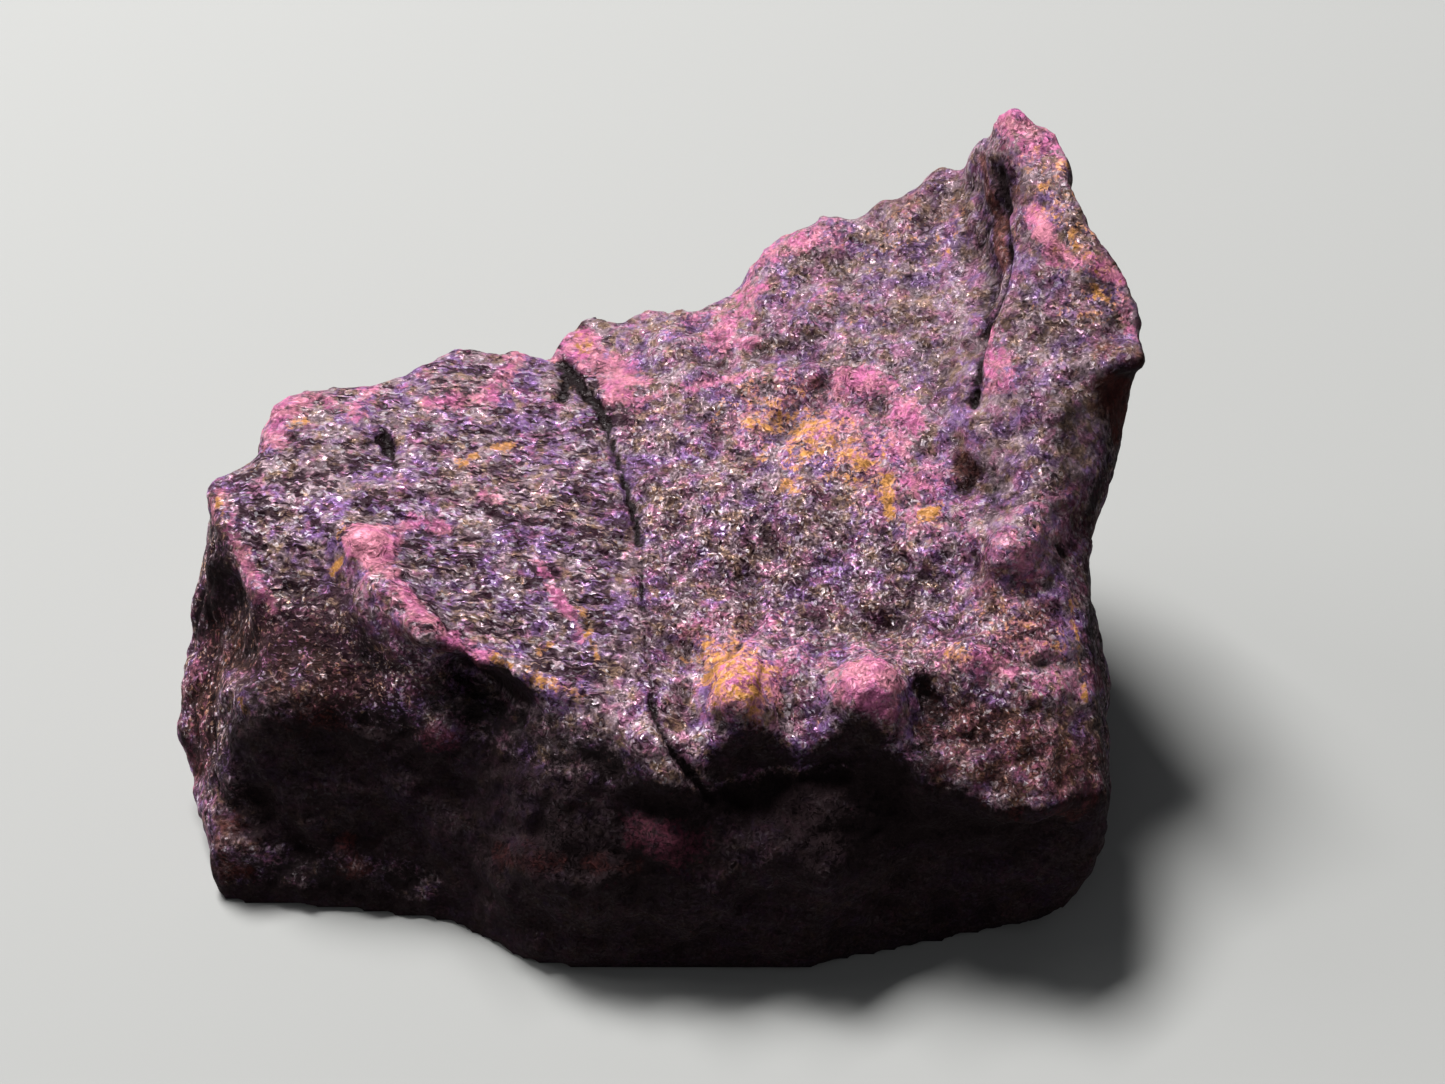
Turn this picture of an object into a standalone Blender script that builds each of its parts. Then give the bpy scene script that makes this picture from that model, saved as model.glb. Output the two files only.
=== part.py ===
"""A hand specimen of purpurite: one broken lump of a violet phosphate, as found in a pegmatite.

The stone lies on a flat fracture face. Its broad upper face rises from the front to a ragged skyline
at the back and ends on the right in a horn. A crack runs over the upper face from back to front.

Metres, +Z up, +X along the stone's length, and the viewer's side at -Y. The origin is on the resting
face, below the centre of the stone's box.
"""

from math import exp

import bmesh
import bpy
from mathutils import Vector, noise
from mathutils.bvhtree import BVHTree

MM = 0.001

# All sizes below are in millimetres.
# The grain of the meshes, and the number of triangles that the stone keeps.
STATIONS = 80
VOXEL = 0.5
TRIANGLES = 9200

# The stone's edges, from its foot at the back, over the top, to its foot at the front. Each runs from
# its left end to its right end, as (x, y, z).
BACK_FOOT = [
    (-28.0, -2.0, 0), (-24.5, 5.5, 0), (-16.0, 8.5, 0), (-8.0, 9.0, 0), (2.0, 12.0, 0),
    (12.0, 15.0, 0), (19.0, 14.0, 0), (24.0, 8.0, 0),
]
BACK_LOW = [
    (-30.9, -1.5, 6.5), (-27.5, 6.0, 7.0), (-18.0, 11.0, 6.0), (-9.0, 11.0, 7.5), (-3.0, 13.5, 8.0),
    (5.0, 15.5, 7.0), (13.0, 19.0, 9.0), (21.0, 18.5, 10.0), (26.8, 8.5, 8.5),
]
BACK_HIGH = [
    (-30.9, 2.2, 14.0), (-27.0, 6.8, 15.5), (-20.0, 12.2, 15.0), (-14.0, 14.6, 16.5),
    (-7.5, 13.2, 16.0), (-2.0, 18.0, 17.5), (4.0, 17.4, 17.0), (8.0, 20.6, 20.0), (15.0, 22.0, 21.5),
    (20.5, 21.6, 27.0), (24.5, 20.2, 29.5), (27.0, 15.5, 28.0), (29.2, 9.0, 22.0),
]
SKYLINE = [
    (-29.8, 3.6, 20.0), (-26.5, 5.0, 20.5), (-25.8, 8.9, 21.4), (-23.8, 10.2, 21.9),
    (-20.5, 11.3, 22.1), (-17.8, 11.5, 22.1), (-16.6, 12.7, 22.3), (-14.5, 13.4, 22.3),
    (-9.8, 13.8, 22.7), (-7.7, 13.0, 22.3), (-6.6, 14.0, 22.8), (-5.2, 15.8, 23.5), (-1.0, 17.0, 24.3),
    (3.0, 16.9, 24.0), (5.2, 16.8, 24.1), (6.2, 18.2, 26.2), (7.4, 19.1, 27.4), (10.0, 19.3, 28.3),
    (12.5, 20.0, 29.5), (15.5, 20.6, 30.8), (18.0, 20.8, 31.4), (20.4, 20.5, 32.6), (20.7, 19.6, 38.3),
    (21.9, 18.8, 39.0), (23.8, 18.4, 39.1), (26.1, 17.0, 39.0), (26.2, 14.4, 37.3), (26.7, 11.2, 35.3),
    (30.2, 8.2, 33.6), (31.1, 6.6, 32.0),
]
HORN_FLANK = [
    (-29.6, 2.2, 20.2), (-26.2, 3.6, 21.0), (-22.0, 8.6, 22.0), (-14.0, 10.9, 22.3),
    (-8.0, 10.9, 22.2), (-5.0, 12.7, 22.9), (3.0, 13.4, 23.7), (6.5, 14.6, 25.8), (10.5, 14.2, 26.6),
    (15.2, 13.8, 27.8), (20.8, 13.2, 29.4), (21.8, 12.6, 30.8), (22.4, 12.2, 33.6), (24.5, 11.2, 34.8),
    (27.0, 9.4, 34.2), (29.4, 7.0, 32.8), (30.8, 5.4, 30.8),
]
TERRACE = [
    (-29.3, 1.0, 19.9), (-22.0, 6.0, 21.9), (-14.0, 7.6, 22.0), (-8.0, 8.1, 21.8), (-4.3, 9.2, 22.3),
    (2.5, 9.6, 23.4), (10.0, 9.0, 24.4), (15.0, 6.9, 24.6), (19.4, 5.6, 26.2), (20.6, 6.6, 28.4),
    (21.6, 6.4, 29.6), (24.3, 5.2, 30.6), (27.2, 4.4, 29.8), (31.0, 4.4, 29.6),
]
MID_SLOPE = [
    (-28.3, -0.4, 19.5), (-22.0, 1.2, 21.3), (-13.5, 2.2, 21.1), (-5.0, 2.6, 21.0), (-2.0, 1.4, 20.3),
    (0.0, 0.8, 20.2), (5.0, 2.2, 21.5), (10.0, 1.4, 21.9), (14.7, -0.6, 22.2), (19.0, -1.0, 23.0),
    (22.0, -1.6, 24.4), (24.5, -1.0, 26.2), (27.3, 0.6, 25.4), (30.3, 4.8, 24.5),
]
VALLEY = [
    (-26.9, -1.6, 18.8), (-24.0, -0.4, 20.2), (-21.0, -0.6, 20.8), (-17.5, -1.6, 20.5),
    (-13.0, -4.6, 19.7), (-8.6, -6.2, 19.1), (-4.7, -6.6, 18.9), (-1.0, -8.0, 18.4), (0.5, -9.5, 17.8),
    (4.9, -6.9, 18.3), (9.7, -7.2, 18.2), (14.5, -8.4, 18.6), (18.8, -7.6, 19.8), (22.0, -6.2, 22.2),
    (24.6, -5.2, 22.2), (27.2, -3.2, 20.4), (27.8, 0.8, 17.2),
]
RISE = [
    (-25.8, -3.2, 18.0), (-24.0, -3.0, 19.2), (-21.5, -2.2, 20.3), (-19.8, -2.4, 20.9),
    (-18.2, -3.9, 20.8), (-17.2, -6.0, 20.5), (-16.0, -7.8, 20.1), (-14.0, -10.0, 19.5),
    (-12.4, -10.9, 18.9), (-10.9, -11.4, 18.5), (-8.0, -12.2, 18.0), (-4.8, -13.1, 17.4),
    (-1.1, -15.3, 16.8), (1.6, -16.6, 15.8), (2.8, -15.4, 16.6), (4.2, -13.6, 18.2),
    (5.4, -12.8, 18.8), (8.6, -13.1, 17.9), (12.5, -12.7, 18.8), (16.0, -12.0, 18.3),
    (19.0, -11.4, 19.3), (22.0, -11.2, 19.5), (25.0, -11.4, 18.5), (27.2, -11.2, 16.8),
    (27.8, -5.8, 12.8),
]
FRONT_EDGE = [
    (-26.2, -8.6, 13.8), (-23.0, -9.4, 14.6), (-20.0, -9.6, 15.2), (-17.5, -9.2, 15.8),
    (-15.6, -9.8, 15.8), (-13.6, -10.0, 17.2), (-12.0, -10.2, 16.4), (-10.2, -10.8, 15.6),
    (-8.0, -12.4, 16.6), (-4.6, -13.9, 16.4), (-1.0, -15.8, 15.8), (1.6, -17.2, 14.8),
    (2.9, -16.4, 15.2), (4.9, -15.6, 16.6), (9.6, -15.6, 16.2), (12.5, -15.3, 17.2),
    (15.0, -15.8, 16.5), (16.6, -16.8, 15.0), (18.4, -18.0, 13.5), (20.9, -18.3, 13.0),
    (24.0, -17.9, 13.0), (27.9, -16.4, 12.5), (28.2, -12.8, 11.8),
]
BROW = [
    (-27.0, -10.4, 10.8), (-21.5, -11.0, 11.6), (-17.5, -11.2, 12.4), (-14.0, -11.9, 12.8),
    (-11.5, -12.2, 13.4), (-8.4, -14.2, 14.2), (-4.7, -15.6, 14.4), (-1.0, -16.8, 14.0),
    (2.0, -17.2, 13.2), (5.0, -15.6, 13.4), (10.0, -15.8, 13.4), (12.5, -16.2, 13.0),
    (15.0, -16.6, 12.6), (19.0, -17.6, 10.9), (24.0, -17.5, 10.2), (28.5, -17.2, 9.4),
    (28.7, -13.0, 9.0),
]
WALL = [
    (-28.2, -12.2, 7.2), (-24.0, -12.8, 7.2), (-21.8, -12.8, 7.4), (-17.9, -13.5, 7.2),
    (-14.0, -14.4, 8.0), (-11.5, -15.0, 9.0), (-8.7, -16.6, 10.8), (-4.7, -17.8, 11.4),
    (-1.2, -18.2, 11.2), (2.5, -18.0, 11.2), (7.2, -18.6, 11.6), (10.7, -18.4, 11.0),
    (13.0, -17.8, 9.8), (19.0, -17.6, 8.4), (24.0, -17.6, 7.4), (27.9, -17.5, 7.0), (28.6, -13.0, 6.4),
]
LEDGE = [
    (-29.2, -14.8, 2.6), (-22.0, -15.6, 2.4), (-18.0, -16.0, 2.4), (-14.0, -16.6, 2.6),
    (-11.5, -17.2, 4.2), (-9.2, -18.7, 6.2), (-6.6, -20.1, 7.8), (-2.6, -20.6, 8.4), (2.0, -20.6, 8.4),
    (7.2, -20.4, 9.6), (10.5, -20.2, 9.0), (14.0, -19.0, 7.0), (18.0, -18.0, 5.6), (22.5, -17.6, 4.6),
    (26.9, -18.2, 3.4), (27.4, -12.5, 3.0),
]
FRONT_FOOT = [
    (-28.8, -15.8, 0), (-26.2, -16.2, 0), (-20.0, -16.7, 0), (-16.4, -17.2, 0), (-13.4, -17.7, 0),
    (-11.2, -19.0, 0), (-9.0, -20.5, 0), (-6.7, -21.0, 0), (-2.0, -21.1, 0), (8.9, -21.3, 0),
    (13.1, -20.1, 0), (17.0, -19.3, 0), (22.0, -17.9, 0), (25.2, -16.8, 0), (25.6, -12.0, 0),
]
EDGES = [
    BACK_FOOT, BACK_LOW, BACK_HIGH, SKYLINE, HORN_FLANK, TERRACE, MID_SLOPE, VALLEY, RISE, FRONT_EDGE,
    BROW, WALL, LEDGE, FRONT_FOOT,
]

# The middle of each end face: the left end swells out and the right end is hollow.
LEFT_MIDDLE = (-32.0, -6.5, 4.2)
RIGHT_MIDDLE = (28.0, 6.0, 14.0)

# Knobs and ridges stand out, and pits and grooves go in. Each runs from one point to another, or sits
# at one point, and is given with its radius and its height, which is below nought for a pit or groove.
RELIEF = [
    ((-18.6, -3.2, 20.8), (-18.6, -3.2, 20.8), 2.3, 1.1),
    ((-17.6, -5.4, 20.5), (-14.0, -9.9, 19.4), 1.6, 0.7),
    ((-14.0, -9.9, 19.4), (-10.9, -11.3, 18.5), 1.3, 0.4),
    ((-28.4, 0.2, 19.6), (-25.0, -4.4, 17.0), 1.4, 0.5),
    ((5.0, -13.4, 18.4), (5.0, -13.4, 18.4), 3.0, 1.6),
    ((12.8, -13.4, 18.4), (12.8, -13.4, 18.4), 3.2, 1.6),
    ((18.9, -11.8, 19.3), (18.9, -11.8, 19.3), 2.5, 1.1),
    ((21.9, -5.6, 22.8), (21.9, -5.6, 22.8), 3.4, 1.3),
    ((-16.0, -10.4, 14.8), (-16.0, -10.4, 14.8), 1.9, 0.7),
    ((0.0, -19.2, 10.4), (0.0, -19.2, 10.4), 2.3, 0.6),
    ((7.4, -19.4, 10.6), (10.6, -19.2, 10.0), 2.4, 0.5),
    ((20.9, -18.2, 13.0), (26.5, -17.0, 12.6), 1.9, 0.5),
    ((-31.2, -8.2, 3.6), (-30.4, -10.4, 3.2), 2.4, 0.6),
    ((-27.2, -14.6, 4.5), (-27.2, -14.6, 4.5), 2.2, 0.6),
    ((-18.0, 4.7, 21.8), (-18.0, 4.7, 21.8), 1.3, -1.1),
    ((19.9, 3.5, 26.9), (19.9, 3.5, 26.9), 1.2, -1.1),
    ((22.2, 13.8, 30.6), (20.3, 7.6, 28.0), 1.2, -0.6),
    ((20.3, 7.6, 28.0), (19.9, 3.5, 26.9), 1.2, -0.6),
    ((17.2, -13.6, 17.8), (17.2, -13.6, 17.8), 1.9, -0.8),
    ((-13.2, -10.3, 17.2), (-10.4, -11.0, 15.4), 1.5, -1.2),
    ((-27.2, -11.9, 9.0), (-23.0, -14.3, 4.2), 1.6, -0.9),
    ((25.8, -2.4, 21.8), (25.8, -2.4, 21.8), 1.7, -0.6),
    ((23.3, 1.4, 25.8), (23.3, 1.4, 25.8), 1.7, -0.6),
    ((19.5, -5.4, 21.4), (19.5, -5.4, 21.4), 1.9, -0.6),
    ((1.4, -16.4, 15.8), (1.4, -16.4, 15.8), 1.7, -0.8),
    ((8.9, -12.6, 18.2), (9.1, -16.0, 15.8), 1.6, -0.9),
    ((15.8, -12.8, 18.6), (16.0, -16.0, 15.8), 1.5, -0.7),
    ((-3.5, 9.2, 22.6), (2.5, 9.6, 23.4), 1.3, 0.35),
    ((2.5, 9.6, 23.4), (10.0, 9.0, 24.4), 1.3, 0.4),
    ((10.0, 9.0, 24.4), (15.0, 6.9, 24.6), 1.4, 0.4),
    ((-24.0, 8.5, 15.0), (-14.0, 13.0, 8.0), 3.5, 1.1),
    ((-8.5, 12.5, 18.0), (-8.0, 10.0, 3.0), 3.0, -0.9),
    ((-3.0, 17.0, 14.0), (4.0, 13.0, 4.0), 4.0, 1.3),
    ((7.0, 18.0, 14.0), (13.0, 19.0, 5.0), 3.6, -1.2),
    ((13.0, 20.5, 24.0), (20.0, 19.0, 8.0), 3.2, 1.0),
    ((25.5, 16.0, 26.0), (24.0, 11.0, 6.0), 3.6, 1.1),
    ((28.0, 9.5, 16.0), (27.0, 4.0, 4.0), 2.4, 0.7),
    ((28.2, -5.2, 14.6), (28.2, -7.6, 12.4), 2.6, 0.5),
    ((-31.0, 1.0, 15.0), (-31.0, -3.0, 2.0), 1.8, 0.4),
    ((-30.0, -3.0, 16.0), (-31.0, -5.0, 9.5), 1.6, -0.4),
]

# The crack's way over the upper face, as (x, y, half width). Its wedge is this many times as deep as it
# is half wide, and its cutter stands this far above the surface. The crack enters over the back edge
# at this height, and a point that is lower than the lowest upper face isn't on it.
CRACK = [
    (-8.2, 15.0, 0.38), (-7.5, 13.0, 0.36), (-6.5, 11.0, 0.3), (-5.6, 9.8, 0.34), (-4.8, 8.2, 0.26),
    (-4.0, 5.8, 0.16), (-2.9, 3.9, 0.22), (-2.5, 2.6, 0.28), (-1.9, 1.2, 0.22), (-1.4, -0.9, 0.24),
    (-0.9, -3.1, 0.14), (-1.0, -6.3, 0.12), (-1.3, -9.3, 0.18), (-0.5, -12.0, 0.22), (0.0, -13.6, 0.32),
    (0.9, -15.3, 0.32), (2.0, -17.1, 0.34), (2.6, -18.2, 0.22),
]
CRACK_STEEPNESS = 4.0
CRACK_RISE = 2.0
CRACK_BACK_HEIGHT = 20.0
LOWEST_UPPER_FACE = 8.0

# The broken surface: the size of its chips, swells and ribs, and how far each reaches in or out.
CHIP_SIZE = 4.6
CHIP_REACH = 0.7
SMALL_CHIP_SIZE = 1.9
SMALL_CHIP_REACH = 0.4
CHIP_CRISPNESS = 14.0
SWELL_SIZE = 9.0
SWELL_REACH = 0.5
RIB_STEP = 1.7
RIB_REACH = 0.55

# The resting face is cut level here, and the roughness fades out over the last stretch above it.
BASE_CUT = 0.35
FLAT_BELOW = 1.6
SHARP_ANGLE = 0.6


def clamped(value):
    return min(1.0, max(0.0, value))


def clear_scene():
    for obj in list(bpy.data.objects):
        bpy.data.objects.remove(obj, do_unlink=True)


def along(edge, share):
    """The point at that share of an edge's length in x, from its left end to its right end."""
    x = edge[0][0] + share * (edge[-1][0] - edge[0][0])
    for left, right in zip(edge, edge[1:]):
        if x <= right[0]:
            break
    return Vector(left).lerp(Vector(right), clamped((x - left[0]) / (right[0] - left[0])))


def draft_block():
    """The stone as flat facets: a grid laid over its edges, with its ends and underside closed."""
    bm = bmesh.new()
    bmesh.ops.create_grid(bm, x_segments=STATIONS - 1, y_segments=len(EDGES) - 1, size=0.5)
    in_columns = sorted(bm.verts, key=lambda vertex: (vertex.co.x, vertex.co.y))
    for vertex in in_columns:
        row = round((vertex.co.y + 0.5) * (len(EDGES) - 1))
        vertex.co = along(EDGES[row], vertex.co.x + 0.5)
    close_end(bm, in_columns[:len(EDGES)], LEFT_MIDDLE)
    close_end(bm, in_columns[-len(EDGES):], RIGHT_MIDDLE)
    bmesh.ops.holes_fill(bm, edges=[edge for edge in bm.edges if edge.is_boundary], sides=0)
    bmesh.ops.triangulate(bm, faces=bm.faces)
    bmesh.ops.recalc_face_normals(bm, faces=bm.faces)
    return bm


def close_end(bm, ring, middle):
    """Closes one end of the block with faces that meet at a middle point."""
    face = bm.faces.new(ring)
    centre = bmesh.ops.poke(bm, faces=[face])["verts"][0]
    centre.co = middle


def remeshed(bm):
    """The stone as one even skin of small faces that nowhere cross, so that all of it can be worked alike."""
    mesh = bpy.data.meshes.new("draft")
    bm.to_mesh(mesh)
    bm.free()
    draft = bpy.data.objects.new("draft", mesh)
    bpy.context.collection.objects.link(draft)
    skin = draft.modifiers.new("Even skin", "REMESH")
    skin.mode = "VOXEL"
    skin.voxel_size = VOXEL
    worked = evaluated_bmesh(draft)
    bpy.data.objects.remove(draft)
    return worked


def evaluated_bmesh(obj):
    """The object's mesh with its modifiers worked in."""
    graph = bpy.context.evaluated_depsgraph_get()
    bm = bmesh.new()
    bm.from_mesh(obj.evaluated_get(graph).data)
    return bm


def tilt(centre):
    """A slope of its own for each chip, that stays the same each time."""
    return 2.0 * noise.cell_vector(centre * 37.0) - Vector((1, 1, 1))


def chips(point, size):
    """Small planes of that size, each tilted its own way, that meet along soft edges: from about -1 to 1."""
    place = point / size
    distances, centres = noise.voronoi(place)
    weights = [exp(CHIP_CRISPNESS * (distances[0] - distance)) for distance in distances]
    planes = [noise.noise(centre * 5.3) + (place - centre).dot(tilt(centre)) for centre in centres]
    return sum(weight * plane for weight, plane in zip(weights, planes)) / sum(weights)


def ribs(point, normal):
    """Upright ribs on the left end and slanting ones on the front wall, from -1 to 1."""
    warp = noise.noise(point / 6.0) * 2.4
    along_end = point.y * 0.9 + point.z * 0.12
    along_front = point.z * 0.8 - point.x * 0.35
    end_share = max(0.0, -normal.x) ** 2
    front_share = 0.6 * max(0.0, -normal.y) ** 2
    wave_end = noise.noise(Vector((along_end / RIB_STEP + warp, point.z / 14.0, 3.0)))
    wave_front = noise.noise(Vector((along_front / (2.0 * RIB_STEP) + warp, point.x / 9.0, 7.0)))
    return end_share * wave_end + front_share * wave_front


def roughness(point, normal):
    """The upper face's left half and the right end are smoother than the rest, and the back is rougher."""
    upper = clamped((normal.z - 0.5) / 0.3)
    left = clamped((1.0 - point.x) / 4.0)
    right_end = clamped((normal.x - 0.15) / 0.35)
    back = max(0.0, normal.y)
    return (1.0 - 0.6 * upper * left + 0.6 * back) * (1.0 - 0.7 * right_end)


def near_base(point):
    """1 over most of the stone, falling to 0 at the resting face, which stays flat."""
    return clamped((point.z - BASE_CUT) / FLAT_BELOW)


def swelling(point, start, end, radius, height):
    """How far a knob, ridge, pit or groove lifts the skin here: nothing past its radius."""
    start = Vector(start)
    line = Vector(end) - start
    place = clamped((point - start).dot(line) / max(line.length_squared, 0.01))
    share = (point - start - place * line).length / radius
    return height * (1 - share * share) ** 2 if share < 1 else 0.0


def break_surface(bm):
    """Moves each point of the skin in or out, for the lumps, hollows, chips and ribs of a broken stone."""
    bm.normal_update()
    moves = []
    for vertex in bm.verts:
        point = vertex.co.copy()
        reach = CHIP_REACH * chips(point, CHIP_SIZE)
        reach += SMALL_CHIP_REACH * chips(point + Vector((9, 4, 2)), SMALL_CHIP_SIZE)
        reach *= roughness(point, vertex.normal)
        reach += SWELL_REACH * noise.noise(point / SWELL_SIZE)
        reach += RIB_REACH * ribs(point, vertex.normal)
        reach += sum(swelling(point, *feature) for feature in RELIEF)
        moves.append(vertex.normal * reach * near_base(point))
    for vertex, move in zip(bm.verts, moves):
        vertex.co += move


def crack_cutter(bm):
    """A wedge laid along the crack, point down, from above the surface to the crack's floor."""
    tree = BVHTree.FromBMesh(bm)
    above = max(vertex.co.z for vertex in bm.verts) + 1.0
    height = CRACK_BACK_HEIGHT
    way = []
    for x, y, half_width in CRACK:
        hit = tree.ray_cast(Vector((x, y, above)), Vector((0, 0, -1)))[0]
        height = hit.z if hit and hit.z > LOWEST_UPPER_FACE else height
        way.append((Vector((x, y, height)), half_width))
    cutter = bmesh.new()
    start, end = way[0], way[1]
    face = cutter.faces.new([cutter.verts.new(corner) for corner in wedge(*start, end[0] - start[0])])
    for before, here in zip(way, way[1:]):
        pushed = bmesh.ops.extrude_face_region(cutter, geom=[face, *face.edges, *face.verts])
        face = next(item for item in pushed["geom"] if isinstance(item, bmesh.types.BMFace))
        for vertex, corner in zip(face.verts, wedge(*here, here[0] - before[0])):
            vertex.co = corner
    bmesh.ops.recalc_face_normals(cutter, faces=cutter.faces)
    return cutter


def wedge(point, half_width, heading):
    """The wedge's three corners where the crack passes a point: two above the surface and one below it."""
    depth = half_width * CRACK_STEEPNESS
    side = Vector((-heading.y, heading.x, 0)).normalized() * half_width * (1 + CRACK_RISE / depth)
    up = Vector((0, 0, CRACK_RISE))
    return point + up + side, point + up - side, point - Vector((0, 0, depth))


def linked(name, bm):
    """A new object that holds the bmesh, in metres."""
    bmesh.ops.scale(bm, vec=(MM, MM, MM), verts=bm.verts)
    mesh = bpy.data.meshes.new(name)
    bm.to_mesh(mesh)
    bm.free()
    obj = bpy.data.objects.new(name, mesh)
    bpy.context.collection.objects.link(obj)
    return obj


def flat_base(bm):
    """Cuts the stone off level at its resting face and closes the cut."""
    everything = list(bm.verts) + list(bm.edges) + list(bm.faces)
    level = (0, 0, BASE_CUT)
    bmesh.ops.bisect_plane(bm, geom=everything, plane_co=level, plane_no=(0, 0, 1), clear_inner=True)
    bmesh.ops.holes_fill(bm, edges=[edge for edge in bm.edges if edge.is_boundary], sides=0)


def centred(bm):
    """Puts the origin on the resting face, below the middle of the stone's box."""
    low = Vector([min(vertex.co[axis] for vertex in bm.verts) for axis in range(3)])
    high = Vector([max(vertex.co[axis] for vertex in bm.verts) for axis in range(3)])
    middle = (low + high) / 2
    bmesh.ops.translate(bm, vec=(-middle.x, -middle.y, -low.z), verts=bm.verts)


def purpurite_material():
    material = bpy.data.materials.new("purpurite")
    material.use_nodes = True
    shader = material.node_tree.nodes["Principled BSDF"]
    shader.inputs["Base Color"].default_value = (0.105, 0.055, 0.12, 1)
    shader.inputs["Roughness"].default_value = 0.5
    shader.inputs["Metallic"].default_value = 0.1
    return material


def main():
    clear_scene()
    skin = remeshed(draft_block())
    break_surface(skin)
    skin = remeshed(skin)
    cutter = linked("crack_cutter", crack_cutter(skin))
    cutter.hide_render = True
    cutter.display_type = "WIRE"
    stone = linked("draft_stone", skin)
    fewer = stone.modifiers.new("Fewer faces", "DECIMATE")
    fewer.ratio = TRIANGLES / (2 * len(stone.data.polygons))
    fewer.use_collapse_triangulate = True
    crack = stone.modifiers.new("Crack", "BOOLEAN")
    crack.operation = "DIFFERENCE"
    crack.object = cutter
    worked = evaluated_bmesh(stone)
    bpy.data.objects.remove(stone)
    bpy.data.objects.remove(cutter)
    bmesh.ops.scale(worked, vec=(1 / MM, 1 / MM, 1 / MM), verts=worked.verts)
    flat_base(worked)
    centred(worked)
    specimen = linked("purpurite_stone", worked)
    specimen.data.materials.append(purpurite_material())
    specimen.data.shade_smooth()
    specimen.data.set_sharp_from_angle(angle=SHARP_ANGLE)


main()
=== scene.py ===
# %% [markdown]
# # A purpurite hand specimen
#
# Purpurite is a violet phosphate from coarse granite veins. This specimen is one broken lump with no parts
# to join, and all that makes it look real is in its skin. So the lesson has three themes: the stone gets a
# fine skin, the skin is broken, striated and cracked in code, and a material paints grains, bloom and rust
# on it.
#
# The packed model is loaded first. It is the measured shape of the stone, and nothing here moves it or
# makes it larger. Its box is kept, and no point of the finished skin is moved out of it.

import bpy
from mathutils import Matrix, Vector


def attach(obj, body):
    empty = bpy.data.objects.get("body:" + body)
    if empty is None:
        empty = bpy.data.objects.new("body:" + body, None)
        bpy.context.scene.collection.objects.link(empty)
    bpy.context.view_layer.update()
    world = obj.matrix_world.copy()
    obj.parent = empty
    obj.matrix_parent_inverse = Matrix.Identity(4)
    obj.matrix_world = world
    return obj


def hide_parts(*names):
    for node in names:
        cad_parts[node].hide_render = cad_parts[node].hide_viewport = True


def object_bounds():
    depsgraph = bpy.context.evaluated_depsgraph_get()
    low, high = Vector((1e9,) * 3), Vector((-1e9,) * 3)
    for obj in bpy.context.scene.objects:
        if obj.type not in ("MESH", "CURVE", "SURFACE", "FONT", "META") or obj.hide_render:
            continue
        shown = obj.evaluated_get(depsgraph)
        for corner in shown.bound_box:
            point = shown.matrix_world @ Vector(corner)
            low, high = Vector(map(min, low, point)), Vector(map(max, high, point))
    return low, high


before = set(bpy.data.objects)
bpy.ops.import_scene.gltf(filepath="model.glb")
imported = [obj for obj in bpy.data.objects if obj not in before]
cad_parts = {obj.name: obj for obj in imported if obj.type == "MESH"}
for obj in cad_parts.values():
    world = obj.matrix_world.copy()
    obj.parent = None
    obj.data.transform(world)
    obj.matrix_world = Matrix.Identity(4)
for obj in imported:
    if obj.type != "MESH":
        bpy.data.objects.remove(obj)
cad_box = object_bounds()
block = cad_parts["purpurite_stone"]
print("box in mm:", [round(1000 * (high - low), 1) for low, high in zip(*cad_box)])

# %% [markdown]
# ## Camera
#
# The stone is seen from the front and from 45 degrees above, by a lens a little longer than normal. An
# empty could be tracked by the camera, but a direction turned into a rotation does the same in one line
# and leaves no helper in the scene. The aim is a point inside the stone, just right of its middle.

# %% Place the camera
import math

import bpy
from mathutils import Vector

MM = 0.001
PHOTO_WIDE = 1445
PHOTO_HIGH = 1084
AIM = Vector((4.92, -0.84, 17.45)) * MM
CAMERA_DISTANCE = 168.9 * MM
CAMERA_ELEVATION = math.radians(45)
NEAREST_SEEN = 5 * MM
LENS = 65
SENSOR = 36


def camera_at(aim, elevation, distance):
    """A camera in front of the aim, at that height above the horizon, that looks at it."""
    lens = bpy.data.cameras.new("camera")
    lens.lens = LENS
    lens.sensor_width = SENSOR
    lens.clip_start = NEAREST_SEEN
    camera = bpy.data.objects.new("camera", lens)
    bpy.context.scene.collection.objects.link(camera)
    towards_camera = Vector((0, -math.cos(elevation), math.sin(elevation)))
    camera.location = aim + towards_camera * distance
    camera.rotation_euler = towards_camera.to_track_quat("Z", "Y").to_euler()
    return camera


camera = camera_at(AIM, CAMERA_ELEVATION, CAMERA_DISTANCE)
bpy.context.scene.camera = camera
print("camera at mm:", [round(1000 * c, 1) for c in camera.location])

# %% [markdown]
# ## Floor and light
#
# The floor is one large pale sheet. It could be a plane from the Add menu, but a grid operator on an empty
# bmesh makes the same sheet with no tool that depends on what is selected.

# %% Floor
import bmesh

FLOOR_SIZE = 4.0
FLOOR_COLOUR = (0.35, 0.35, 0.34, 1)
FLOOR_ROUGHNESS = 0.9


def linked(name, data):
    """A new object with that data, put in the scene."""
    obj = bpy.data.objects.new(name, data)
    bpy.context.scene.collection.objects.link(obj)
    return obj


def plain_floor():
    """A level sheet under the stone, with a dull pale paint."""
    bm = bmesh.new()
    bmesh.ops.create_grid(bm, x_segments=1, y_segments=1, size=FLOOR_SIZE / 2)
    mesh = bpy.data.meshes.new("floor")
    bm.to_mesh(mesh)
    bm.free()
    paint = bpy.data.materials.new("pale floor")
    paint.use_nodes = True
    shader = paint.node_tree.nodes["Principled BSDF"]
    shader.inputs["Base Color"].default_value = FLOOR_COLOUR
    shader.inputs["Roughness"].default_value = FLOOR_ROUGHNESS
    mesh.materials.append(paint)
    return linked("floor", mesh)


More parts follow.
